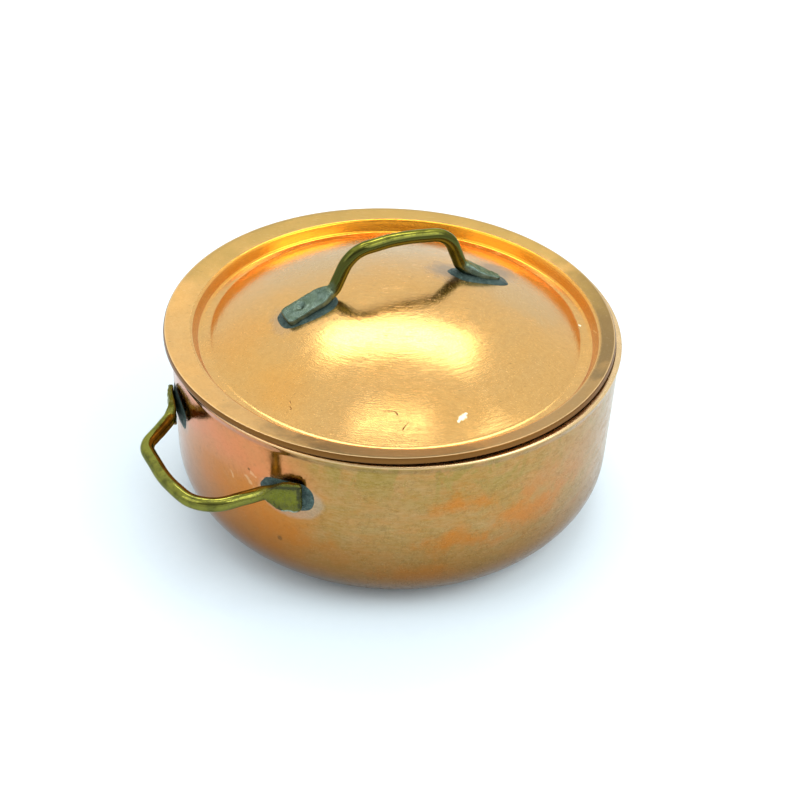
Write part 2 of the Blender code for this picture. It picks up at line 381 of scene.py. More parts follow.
def make_hairlines():
    """Short straight scratches, all leaning one way."""
    tree, takes, gives = start_group("hairline_scratches", {
        "Lean": 0.5, "Length": 0.006, "Width": 0.00012, "Amount": 0.3,
    }, ["Line"])
    turned = add(tree, "ShaderNodeVectorRotate", {
        "Vector": object_place(tree), "Angle": takes["Lean"],
    }, rotation_type="Z_AXIS").outputs[0]
    parts = split(tree, turned)
    vector = add(tree, "ShaderNodeCombineXYZ", {
        0: maths(tree, "DIVIDE", parts[0], takes["Length"]),
        1: maths(tree, "DIVIDE", parts[1], takes["Width"]),
        2: maths(tree, "DIVIDE", parts[2], takes["Width"]),
    }).outputs[0]
    lines = add(tree, "ShaderNodeTexNoise", {"Vector": vector, "Scale": 1.0, "Detail": 1.0}).outputs[0]
    edge = maths(tree, "SUBTRACT", 0.82, times(tree, takes["Amount"], 0.2))
    tree.links.new(ramp(tree, lines, edge, plus(tree, edge, 0.05)), gives["Line"])
    return tree


def make_ring():
    """Everything beyond a radius round the axis, with a soft edge, and the distance from the axis."""
    tree, takes, gives = start_group("ring_band", {
        "Inner": 0.028, "Soft": 0.0005, "Centre": (0.0, 0.0, 0.0),
    }, ["Mask", "Radius"])
    parts = split(tree, vector_maths(tree, "SUBTRACT", object_place(tree), takes["Centre"])[0])
    across = length_across(tree, parts)
    tree.links.new(across, gives["Radius"])
    inner_side = maths(tree, "SUBTRACT", takes["Inner"], takes["Soft"])
    outer_side = plus(tree, takes["Inner"], takes["Soft"])
    tree.links.new(ramp(tree, across, inner_side, outer_side), gives["Mask"])
    return tree


turning_marks = make_turning_marks()
ring_band = make_ring()
ragged_patch = make_patch()
oxide_clouds = make_stains()
hairline_scratches = make_hairlines()
scratch = make_scratch()


def new_finish(name, metallic=1.0):
    made = bpy.data.materials.new(name)
    made.use_nodes = True
    shader = made.node_tree.nodes["Principled BSDF"]
    shader.inputs["Metallic"].default_value = metallic
    return made, made.node_tree, shader


def join_finish(tree, shader, colour, rough, normal):
    tree.links.new(colour, shader.inputs["Base Color"])
    tree.links.new(rough, shader.inputs["Roughness"])
    tree.links.new(normal, shader.inputs["Normal"])


def bump(tree, height, depth, under=None):
    sockets = {"Height": height, "Distance": depth, "Strength": 1.0}
    if under is not None:
        sockets["Normal"] = under
    return add(tree, "ShaderNodeBump", sockets).outputs[0]


def patch(tree, centre, reach, core=0.3, ragged=0.25, grain=300.0, stretch=(1.0, 1.0, 1.0)):
    return place_group(tree, ragged_patch, {
        "Centre": centre, "Reach": reach, "Core": core, "Ragged": ragged, "Grain": grain, "Stretch": stretch,
    })["Mask"]


def around_pan(degrees, height):
    """A place on the pan's wall, by the angle around its axis from +X."""
    angle = math.radians(degrees)
    return (WALL_TOP_RADIUS * math.cos(angle), WALL_TOP_RADIUS * math.sin(angle), height)


def most(tree, masks):
    """The strongest of several masks."""
    strongest = masks[0]
    for mask in masks[1:]:
        strongest = maths(tree, "MAXIMUM", strongest, mask)
    return strongest


def pan_copper():
    finish, tree, shader = new_finish("pan_copper")
    clouds = place_group(tree, oxide_clouds, {"Size": 0.009, "Stretch": (1.0, 1.0, 1.4), "Seed": 2.0})
    drips = place_group(tree, oxide_clouds, {"Size": 0.0034, "Stretch": (1.0, 1.0, 0.55), "Seed": 7.0})
    wiped = place_group(tree, oxide_clouds, {"Size": 0.0040, "Stretch": (1.0, 1.0, 2.6), "Seed": 4.0})
    marks = place_group(tree, turning_marks, {"Fineness": 7000.0, "Break": 5.0})
    height = split(tree, object_place(tree))[2]
    colour = blend_colour(tree, times(tree, clouds["Cloud"], 0.5), COPPER_TAN, COPPER_PALE)
    colour = wash(tree, colour, (COPPER_ORANGE, wiped["Cloud"], 0.4), (COPPER_OLIVE, clouds["Mottle"], 0.25))
    under_rim = times(tree, ramp(tree, height, PAN_HEIGHT - 0.0085, PAN_HEIGHT - 0.002),
                      ramp(tree, drips["Cloud"], 0.35, 0.65))
    colour = wash(tree, colour, (COPPER_OLIVE, under_rim, 0.7))
    streaks = place_group(tree, oxide_clouds, {"Size": 0.0065, "Stretch": (1.0, 1.0, 3.4), "Seed": 14.0})
    colour = wash(tree, colour, (COPPER_OLIVE, streaks["Cloud"], 0.35),
                  (COPPER_BRIGHT, streaks["Mottle"], 0.15))
    scrubbed = patch(tree, around_pan(178.0, 0.0160), 0.0215, 0.55, 0.12, 120.0)
    by_height = blend_colour(tree, ramp(tree, height, 0.0150, 0.0215), COPPER_ORANGE, COPPER_ROSE)
    colour = wash(tree, colour, (by_height, scrubbed, 0.78))
    blotches = ramp(tree, times(tree, clouds["Mottle"], drips["Mottle"]), 0.15, 0.75)
    colour = wash(tree, colour, (COPPER_BROWN, blotches, 0.22))
    # Each spot: degrees round, height, reach, strength, colour.
    for degrees, up, reach, share, shade in (
        (169.0, 0.0235, 0.0150, 1.0, COPPER_ROSE),
        (186.0, 0.0215, 0.0100, 1.0, COPPER_ROSE),
        (183.0, 0.0150, 0.0120, 1.0, COPPER_ORANGE),
        (196.0, 0.0120, 0.0100, 0.8, COPPER_ORANGE),
        (214.0, 0.0100, 0.0090, 0.4, COPPER_ORANGE),
        (244.8, 0.0191, 0.0058, 0.75, COPPER_ORANGE),
        (244.2, 0.0128, 0.0070, 0.8, COPPER_ORANGE),
        (236.0, 0.0072, 0.0080, 0.6, COPPER_ORANGE),
        (266.0, 0.0150, 0.0110, 0.75, COPPER_ORANGE),
        (278.0, 0.0190, 0.0110, 0.35, COPPER_ROSE),
        (287.0, 0.0190, 0.0150, 0.5, COPPER_TAN),
        (297.0, 0.0215, 0.0110, 0.5, COPPER_TAN),
        (60.0, 0.0150, 0.0150, 0.7, COPPER_ROSE),
        (110.0, 0.0100, 0.0120, 0.7, COPPER_ORANGE),
        (20.0, 0.0120, 0.0120, 0.6, COPPER_ORANGE),
    ):
        spot = patch(tree, around_pan(degrees, up), reach, 0.0, 0.60, 300.0, (1.0, 1.0, 2.4))
        colour = wash(tree, colour, (shade, spot, share))
    # Painted shade: the wall darkens towards the foot, for the shadowed floor it reflects there.
    foot = ramp(tree, height, 0.0030, 0.0165, 0.78, 0.0)
    colour = blend_colour(tree, foot, colour, COPPER_BROWN)
    halo = most(tree, [patch(tree, around_pan(degrees, up), 0.0052, 0.82, 0.06, 500.0, (1.0, 1.0, 1.5))
                       for degrees, up in ((203.6, 0.0180), (157.2, 0.0184))])
    colour = wash(tree, colour, (FLUX_GREY, halo, 0.30))
    dots = most(tree, [patch(tree, around_pan(degrees, up), reach, 0.5, 0.10, 1500.0)
                       for degrees, up, reach in ((200.7, 0.0103, 0.0006), (192.0, 0.0200, 0.0003))])
    colour = wash(tree, colour, (COPPER_BROWN, dots, 0.8))
    grain = ramp(tree, times(tree, wiped["Mottle"], clouds["Grain"]), 0.1, 0.9, 0.0, 0.20)
    colour = blend_colour(tree, grain, colour, COPPER_BROWN)
    splashes = most(tree, [place_group(tree, scratch, {
        "From": around_pan(*start), "To": around_pan(*end), "Width": width,
    })["Mask"] for start, end, width in (
        ((191.0, 0.0186), (192.6, 0.0176), 0.00036),
        ((193.2, 0.0174), (194.0, 0.0168), 0.00026),
        ((192.5, 0.0196), (194.0, 0.0192), 0.00030),
        ((186.0, 0.0178), (186.6, 0.0170), 0.00026),
    )])
    colour = wash(tree, colour, (COPPER_BRIGHT, splashes, 0.32), (COPPER_BRIGHT, wiped["Speck"], 0.55))
    # Painted highlight: a bright line along the top edge of the rim.
    rim_highlight = ramp(tree, height, PAN_HEIGHT - 0.00035, PAN_HEIGHT - 0.00010)
    colour = wash(tree, colour, (COPPER_BRIGHT, rim_highlight, 0.8))
    polished = patch(tree, around_pan(180.0, 0.016), 0.026, 0.45, 0.1, 90.0)
    rough = ramp(tree, clouds["Mottle"], 0.0, 1.0, 0.20, 0.30)
    rough = added(tree, rough, [(polished, -0.12), (marks["Streak"], 0.05), (halo, 0.12)])
    normal = bump(tree, drips["Mottle"], 0.000003)
    normal = bump(tree, marks["Height"], 0.000004, normal)
    join_finish(tree, shader, colour, rough, normal)
    return finish


pan = spin("pan", pan_profile(), PAN_TURNS, pan_hand_work)
pan.data.materials.append(pan_copper())
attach(pan, "pan")
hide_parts("pan_body")


# Side handle: a length of brass wire bent to a loop, each end hammered flat into a paddle that lies
# against the wall. The maker's hammer left facets and a crease where wire turns to paddle.
WIRE = 0.0019
SIDE_HEIGHT = 0.0188
SIDE_BAR_CORNERS = ((-0.0083, 0.0397), (0.0071, 0.0381))
SIDE_BAR_MIDDLE = (-0.0012, 0.0401)
SIDE_FOOT_NEAR = (0.0330, 18.6)
SIDE_FOOT_FAR = (0.0323, 27.4)
SIDE_PADDLES = ((0.0022, 0.0030, 0.0046, 0.0046), (0.0042, 0.0018, 0.0044, 0.0040))
SIDE_PADDLE_THICKNESS = 0.0008
PADDLE_CORNER = 0.0008
TIP_ROUNDING = 0.00025
WIRE_SIDES = 56
WIRE_RIPPLE = 0.00002
WIRE_DRIFT = 0.00008
HAMMER_FACET = 0.00020
HAMMER_CREASE = 0.00014
TIP_CREASE = 0.00010
FRONT_PADDLE_SKEW = 0.0007
BRASS_BRIGHT = (0.24, 0.225, 0.026)
BRASS_OLIVE = (0.100, 0.098, 0.008)
BRASS_DARK = (0.025, 0.025, 0.006)
BRASS_FACET_HIGHLIGHT = (0.15, 0.150, 0.006)
SOLDER_MID = (0.070, 0.120, 0.098)
SOLDER_GREY = (0.20, 0.27, 0.24)
SOLDER_PALE = (0.50, 0.60, 0.55)


def smooth_step(value):
    value = min(max(value, 0.0), 1.0)
    return value * value * (3.0 - 2.0 * value)


def quarter_round(share):
    return math.sqrt(max(0.0, 1.0 - (1.0 - min(share, 1.0)) ** 2))


def forge(name, route, place, paddles, thickness, hand_work):
    """Lofts a round wire along the route, flattened into a paddle at both ends.

    Each paddle is (flat length, taper length, width, width at the tip); place turns a point of the
    route's plane and a sideways distance into the pan's coordinates; hand_work adds the dents.
    """
    route = spaced(route, 0.00022)
    travelled = [0.0]
    for here, there in zip(route, route[1:]):
        travelled.append(travelled[-1] + (there - here).length)
    work = bmesh.new()
    rings = []
    last = len(route) - 1
    for index, point in enumerate(route):
        direction = (route[min(index + 2, last)] - route[max(index - 2, 0)]).normalized()
        across = Vector((-direction.y, direction.x))
        at_far_end = travelled[index] > travelled[-1] / 2
        length, taper, wide, tip = paddles[1 if at_far_end else 0]
        from_end = travelled[-1] - travelled[index] if at_far_end else travelled[index]
        flat = 1.0 - smooth_step((from_end - length) / taper)
        width = tip + (wide - tip) * smooth_step(from_end / length)
        plan = quarter_round(from_end / PADDLE_CORNER)
        edge = quarter_round(from_end / TIP_ROUNDING)
        half_width = (WIRE + (width - WIRE) * flat) / 2 - PADDLE_CORNER * 0.8 * (1.0 - plan)
        half_thick = (WIRE + (thickness - WIRE) * flat) / 2 * (0.55 + 0.45 * edge)
        squareness = 2.0 + 6.0 * flat
        ring = []
        for step in range(WIRE_SIDES):
            angle = 2 * math.pi * step / WIRE_SIDES
            reach = abs(math.cos(angle)) ** squareness + abs(math.sin(angle)) ** squareness
            reach **= -1.0 / squareness
            side = math.cos(angle) * reach * half_width
            lift = math.sin(angle) * reach * half_thick
            dent, slip = hand_work(travelled[index] / travelled[-1], from_end, flat, side, lift)
            ring.append(work.verts.new(place(point + across * (lift + dent), side + slip)))
        rings.append(ring)
    for first, second in zip(rings, rings[1:]):
        bridge(work, first, second)
    for ring in (rings[0], rings[-1]):
        fan(work, work.verts.new(sum((vert.co for vert in ring), Vector()) / WIRE_SIDES), ring)
    return smooth_piece(name, work)


def side_hand_work(share, from_end, flat, side, lift):
    where = Vector((share * 30.0, side / WIRE * 1.2, lift / WIRE * 1.2))
    ripple = noise.noise(where) * WIRE_RIPPLE
    facet = noise.noise(Vector((share * 60.0, side / WIRE * 1.6, 4.0))) * HAMMER_FACET * flat
    crease = 0.0
    if lift > 0.0:
        across = abs(side * 0.7 + (from_end - 0.0030) * 0.6)
        crease = -HAMMER_CREASE * flat * math.exp(-(across / 0.00022) ** 2)
        crease -= TIP_CREASE * flat * math.exp(-((from_end - 0.0004) / 0.00030) ** 2)
    slip = noise.noise(Vector((share * 12.0, 9.0, 0.0))) * WIRE_DRIFT
    if share < 0.5:
        slip += FRONT_PADDLE_SKEW * flat * (0.5 - smooth_step(from_end / 0.0055))
    return ripple + facet + crease, slip


def side_place(point, side):
    return Vector((-point.y, point.x, SIDE_HEIGHT + side))


def side_route():
    far, near = (
        Vector((radius * math.sin(math.radians(angle)), radius * math.cos(math.radians(angle))))
        for radius, angle in (SIDE_FOOT_FAR, SIDE_FOOT_NEAR)
    )
    front, rear = SIDE_BAR_CORNERS
    return rounded_line([
        (-far.x, far.y, 0.0),
        (-near.x, near.y, 0.0014),
        (*front, 0.0052),
        (*SIDE_BAR_MIDDLE, 0.0200),
        (*rear, 0.0034),
        (near.x, near.y, 0.0014),
        (far.x, far.y, 0.0),
    ], 12)


def make_tarnish_and_shade():
    """Brass tarnish in clouds and pits, and the wire's undersides darkened as painted shade."""
    tree, takes, gives = start_group("brass_tarnish_and_shade", {
        "Size": 0.002, "Underside shade": 0.5,
    }, ["Mask", "Pits", "Painted shade"])
    place = object_place(tree)
    cloud = add(tree, "ShaderNodeTexNoise", {
        "Vector": place, "Scale": maths(tree, "DIVIDE", 1.0, takes["Size"]),
        "Detail": 6.0, "Roughness": 0.65,
    }).outputs[0]
    pits = add(tree, "ShaderNodeTexNoise", {
        "Vector": place, "Scale": maths(tree, "DIVIDE", 8.0, takes["Size"]), "Detail": 3.0,
    }).outputs[0]
    facing = split(tree, add(tree, "ShaderNodeTexCoord").outputs["Normal"])[2]
    # Painted shade: faces that turn downward get darker.
    below = times(tree, ramp(tree, facing, 0.97, 0.50), takes["Underside shade"])
    tree.links.new(plus(tree, ramp(tree, cloud, 0.42, 0.68), below), gives["Mask"])
    tree.links.new(ramp(tree, pits, 0.60, 0.72), gives["Pits"])
    tree.links.new(below, gives["Painted shade"])
    return tree


brass_tarnish_and_shade = make_tarnish_and_shade()


def handle_brass(name, feet, foot_reach, solder_film, underside_shade, gloss, facet_shade_and_marks=()):
    finish, tree, shader = new_finish(name)
    tarnish_and_shade = place_group(tree, brass_tarnish_and_shade, {"Size": 0.0024, "Underside shade": underside_shade})
    # Painted shade: the mask also holds the wire's undersides, and they are darkened once more below.
    colour = blend_colour(tree, maths(tree, "MINIMUM", tarnish_and_shade["Mask"], 1.0), BRASS_BRIGHT, BRASS_OLIVE)
    colour = wash(tree, colour, (BRASS_DARK, tarnish_and_shade["Painted shade"], 0.5))
    near_feet = most(tree, [patch(tree, foot, foot_reach, 0.6, 0.08, 900.0) for foot in feet])
    colour = wash(tree, colour, (BRASS_OLIVE, near_feet, 0.55))
    film = times(tree, near_feet, solder_film)
    film_clouds = place_group(tree, oxide_clouds, {"Size": 0.0012, "Seed": 9.0})
    film_colour = blend_colour(tree, film_clouds["Cloud"], SOLDER_MID, SOLDER_GREY)
    film_colour = wash(tree, film_colour, (SOLDER_PALE, film_clouds["Speck"], 0.5))
    colour = blend_colour(tree, film, colour, film_colour)
    colour = wash(tree, colour, (BRASS_DARK, tarnish_and_shade["Pits"], 0.5))
    # Each mark: from, to, width, strength, colour. Some are painted shade and painted highlight on the
    # paddle.
    for start, end, width, share, shade in facet_shade_and_marks:
        mark = place_group(tree, scratch, {"From": start, "To": end, "Width": width})["Mask"]
        colour = wash(tree, colour, (shade, mark, share))
    shader.inputs["Specular Tint"].default_value = (0.55, 0.55, 0.30, 1.0)
    shader.inputs["Coat Weight"].default_value = gloss
    shader.inputs["Coat Roughness"].default_value = 0.06
    rough = ramp(tree, tarnish_and_shade["Mask"], 0.0, 1.0, 0.07, 0.15)
    rough = added(tree, rough, [(near_feet, 0.14)])
    normal = bump(tree, tarnish_and_shade["Pits"], -0.000006)
    normal = bump(tree, times(tree, film_clouds["Mottle"], near_feet), 0.00003, normal)
    join_finish(tree, shader, colour, rough, normal)
    return finish


def on_front_paddle(along, up):
    """A place on the front paddle's outer face, measured from its tip and from its middle line."""
    start, inward = side_route()[0], side_route()[1]
    way = (inward - start).normalized()
    outward = Vector((way.y, -way.x)) * -0.0004
    point = start + way * along
    return tuple(side_place(point + outward, up))


side_handle = forge("side_loop", side_route(), side_place, SIDE_PADDLES, SIDE_PADDLE_THICKNESS,
                    side_hand_work)
side_handle.data.materials.append(handle_brass(
    "side_brass", [around_pan(degrees, SIDE_HEIGHT) for degrees in (203.8, 156.2)],
    foot_reach=0.0052, solder_film=0.0, underside_shade=0.30, gloss=0.34, facet_shade_and_marks=[
        # A painted highlight on one facet, then painted shade along the paddle's top edge, tip and crease,
        # and a pale line along the lower edge.
        (on_front_paddle(0.0014, 0.0003), on_front_paddle(0.0030, 0.0002), 0.0015, 0.8, BRASS_FACET_HIGHLIGHT),
        (on_front_paddle(0.0002, 0.0022), on_front_paddle(0.0052, 0.0013), 0.0004, 0.8, BRASS_DARK),
        (on_front_paddle(0.0002, -0.0020), on_front_paddle(0.0002, 0.0022), 0.0004, 0.8, BRASS_DARK),
        (on_front_paddle(0.0050, 0.0006), on_front_paddle(0.0026, -0.0020), 0.0003, 0.8, BRASS_DARK),
        (on_front_paddle(0.0006, -0.0019), on_front_paddle(0.0028, -0.0023), 0.0004, 0.7, SOLDER_PALE),
    ]))
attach(side_handle, "pan")
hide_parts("side_handle")


# Side handle's solder: a thick pool of soft solder between each paddle and the wall, gone dark
# grey-green, with a few bright grains and an uneven lip where it froze.
SOLDER_DARK = (0.022, 0.044, 0.038)
SIDE_POOL_SIZE = (0.0084, 0.0049)
SIDE_POOL_THICKNESS = 0.00040
SIDE_POOL_DROP = 0.0004
POOL_BED = -0.00004
POOL_RINGS = 26
POOL_SPOKES = 96


def squarish(value):
    """Pushes the sides of a circle out towards a rounded square."""
    return math.copysign(abs(value) ** 0.72, value)


def pool(name, size, thickness, seat, seed):
    """A frozen puddle on seat(a, b, lift): crowned, with a lumpy top and a wandering outline."""
    work = bmesh.new()
    layers = []
    for level in (0, 1):
        lift = POOL_BED if level == 0 else thickness
        layer = [[work.verts.new(seat(0.0, 0.0, lift))]]
        for ring in range(1, POOL_RINGS + 1):
            share = ring / POOL_RINGS
            loop = []
            for spoke in range(POOL_SPOKES):
                angle = 2 * math.pi * spoke / POOL_SPOKES
                along, aside = math.cos(angle), math.sin(angle)
                wander = 1.0 + 0.09 * noise.noise(Vector((along * 1.6, aside * 1.6, seed)))
                a = squarish(along) * size[0] / 2 * share * wander
                b = squarish(aside) * size[1] / 2 * share * wander
                lump = 0.22 * noise.noise(Vector((a / 0.0011, b / 0.0011, seed)))
                lump += 0.10 * noise.noise(Vector((a / 0.0004, b / 0.0004, seed)))
                crown = thickness * (1.0 - share ** 3.5) * (0.95 + lump)
                loop.append(work.verts.new(seat(a, b, crown if level else POOL_BED)))
            layer.append(loop)
        layers.append(layer)
    for layer in layers:
        fan(work, layer[0][0], layer[1])
        for inner, outer in zip(layer[1:], layer[2:]):
            bridge(work, inner, outer)
    bridge(work, layers[0][-1], layers[1][-1])
    return smooth_piece(name, work)


def solder_metal():
    finish, tree, shader = new_finish("old_solder", 0.55)
    clouds = place_group(tree, oxide_clouds, {"Size": 0.0016, "Seed": 3.0})
    crust = place_group(tree, oxide_clouds, {"Size": 0.0007, "Seed": 8.0})
    colour = blend_colour(tree, clouds["Cloud"], SOLDER_DARK, SOLDER_MID)
    colour = wash(tree, colour, (SOLDER_GREY, crust["Cloud"], 0.30),
                  (SOLDER_DARK, clouds["Mottle"], 0.60),
                  (SOLDER_PALE, clouds["Speck"], 0.8))
    normal = bump(tree, clouds["Mottle"], 0.00006)
    normal = bump(tree, crust["Cloud"], 0.00008, normal)
    normal = bump(tree, clouds["Speck"], 0.00002, normal)
    join_finish(tree, shader, colour, ramp(tree, clouds["Mottle"], 0.0, 1.0, 0.40, 0.7), normal)
    return finish


old_solder = solder_metal()


def wall_seat(middle_degrees, lean):
    """Lays a flat pattern on the wall: across, up and outward."""
    def seat(a, b, lift):
        a, b = a * math.cos(lean) - b * math.sin(lean), a * math.sin(lean) + b * math.cos(lean)
        height = SIDE_HEIGHT - SIDE_POOL_DROP + b
        share = (height - CORNER_RADIUS) / (PAN_HEIGHT - CORNER_RADIUS)
        wall = WALL_FOOT_RADIUS + (WALL_TOP_RADIUS - WALL_FOOT_RADIUS) * share
        angle = math.radians(middle_degrees) + a / wall
        reach = wall + lift
        return Vector((reach * math.cos(angle), reach * math.sin(angle), height))
    return seat


for node_name, degrees, lean, seed in (
    ("side_solder_front", 202.9, math.radians(8.0), 1.0),
    ("side_solder_rear", 157.2, 0.0, 2.0),
):
    puddle = pool(node_name + "_pool", SIDE_POOL_SIZE, SIDE_POOL_THICKNESS, wall_seat(degrees, lean), seed)
    puddle.data.materials.append(old_solder)
    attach(puddle, "pan")
    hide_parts(node_name)


# Lid: spun from the same sheet. A dished brim rests on the pan's rim, a short step drops inside it,
# and the middle is raised in a low dome. The brim was trimmed by eye and sits a little off centre.
LID_CLEARANCE = 0.00015
BRIM_RADIUS = 0.03165
BRIM_EDGE_RISE = 0.00112
BRIM_OFFSET = Vector((-0.00060, 0.00054, 0.0))
BRIM_DIP = 0.00045
BRIM_DIP_WAY = math.radians(48.0)
BRIM_HEM = 0.00016
BRIM_SWELL = 0.00006
BRIM_NOSE = 0.00012
DOME_SWELL = 0.00007
CREST_RADIUS = 0.02865
CREST_RISE = 0.00034
WELL_RADIUS = 0.0279
WELL_WALL_RADIUS = 0.02825
WELL_DEPTH = 0.0017
WELL_FLOOR = PAN_HEIGHT + CREST_RISE - WELL_DEPTH
DOME_FOOT_RADIUS = 0.0264
DOME_RISE = 0.0075
DOME_RINGS = 40
LID_TURNS = 288
COPPER_GOLD = (0.78, 0.425, 0.128)
COPPER_DULL = (0.60, 0.40, 0.18)
COPPER_MATTE = (0.43, 0.268, 0.072)
COPPER_DARK_EDGE = (0.19, 0.080, 0.020)
COPPER_STAIN_AND_SHADE = (0.20, 0.125, 0.045)
COPPER_TARNISH = (0.55, 0.25, 0.06)
COPPER_DEEP_ORANGE = (0.98, 0.35, 0.010)
COPPER_BLUED = (0.16, 0.20, 0.22)
COPPER_SCUFFED = (0.16, 0.05, 0.012)
COPPER_CHIPPED = (0.86, 0.80, 0.56)


def dome_height(radius):
    share = min(radius / DOME_FOOT_RADIUS, 1.0)
    return WELL_FLOOR + DOME_RISE * (1.0 - share ** 2)


def sideways(points, distance):
    """The line moved to the right of its direction of travel."""
    moved = []
    last = len(points) - 1
    for index, point in enumerate(points):
        ahead = (points[min(index + 1, last)] - point).normalized()
        behind = (point - points[max(index - 1, 0)]).normalized()
        direction = ((ahead if index < last else behind) + (behind if index else ahead)).normalized()
        moved.append(point + Vector((direction.y, -direction.x)) * distance)
    return moved


def lid_profile():
    radii = [DOME_FOOT_RADIUS * ring / DOME_RINGS for ring in range(DOME_RINGS)]
    dome = [Vector((radius, dome_height(radius))) for radius in radii[:-1]]
    step = rounded_line([
        (radii[-1], dome_height(radii[-1]), 0.0),
        (DOME_FOOT_RADIUS, WELL_FLOOR, 0.0014),
        (WELL_RADIUS, WELL_FLOOR, 0.00050),
        (CREST_RADIUS, PAN_HEIGHT + CREST_RISE, 0.00055),
        (BRIM_RADIUS, PAN_HEIGHT + BRIM_EDGE_RISE, 0.0),
    ], 10)
    top = spaced(dome + step, 0.0006)
    under = sideways(top, SHEET)
    under[0] = Vector((0.0, top[0].y - SHEET))
    edge_middle = (top[-1] + under[-1]) / 2
    outward = (top[-1] - top[-2]).normalized()
    nose = [edge_middle + (top[-1] - edge_middle) * math.cos(angle) + outward * BRIM_NOSE * math.sin(angle)
            for angle in (math.radians(degrees) for degrees in range(20, 180, 20))]
    lift = Vector((0.0, LID_CLEARANCE))
    return [point + lift for point in top + nose + under[::-1]]


def lid_hand_work(place):
    radius = math.hypot(place.x, place.y)
    share = (radius - CREST_RADIUS) / (BRIM_RADIUS - CREST_RADIUS)
    on_brim = min(max(share, 0.0), 1.0)
    flat = Vector((place.x, place.y, 0.0))
    inside = 1.0 - smooth_step((radius - 0.020) / 0.005)
    lift = soft_wave(flat, 0.011, DOME_SWELL) * inside
    if radius > 1e-6:
        behind = 0.5 + 0.5 * math.cos(math.atan2(place.y, place.x) - BRIM_DIP_WAY)
        top = PAN_HEIGHT + LID_CLEARANCE + CREST_RISE + (BRIM_EDGE_RISE - CREST_RISE) * share
        turned_down = BRIM_HEM * (1.0 - behind) * smooth_step((top - place.z) / SHEET)
        swell = soft_wave(flat / radius * 0.010, 0.006, BRIM_SWELL)
        lift += (swell - BRIM_DIP * behind - turned_down) * on_brim
    return BRIM_OFFSET * on_brim + Vector((0.0, 0.0, lift))


LID_HANDLE_TURN = math.radians(-16.5)
LID_HANDLE_SHIFT = Vector((0.0015, 0.0016, 0.0))


def lid_seat(x, y, lift):
    """A place above the dome, for x and y measured along and across the lid handle."""
    flat = Matrix.Rotation(LID_HANDLE_TURN, 3, "Z") @ Vector((x, y, 0.0)) + LID_HANDLE_SHIFT
    top = dome_height(math.hypot(flat.x, flat.y)) + LID_CLEARANCE
    return flat + Vector((0.0, 0.0, top + lift))


def on_dome(x, y):
    """A place on the lid's dome, lid down."""
    return (x, y, dome_height(math.hypot(x, y)) + LID_CLEARANCE)


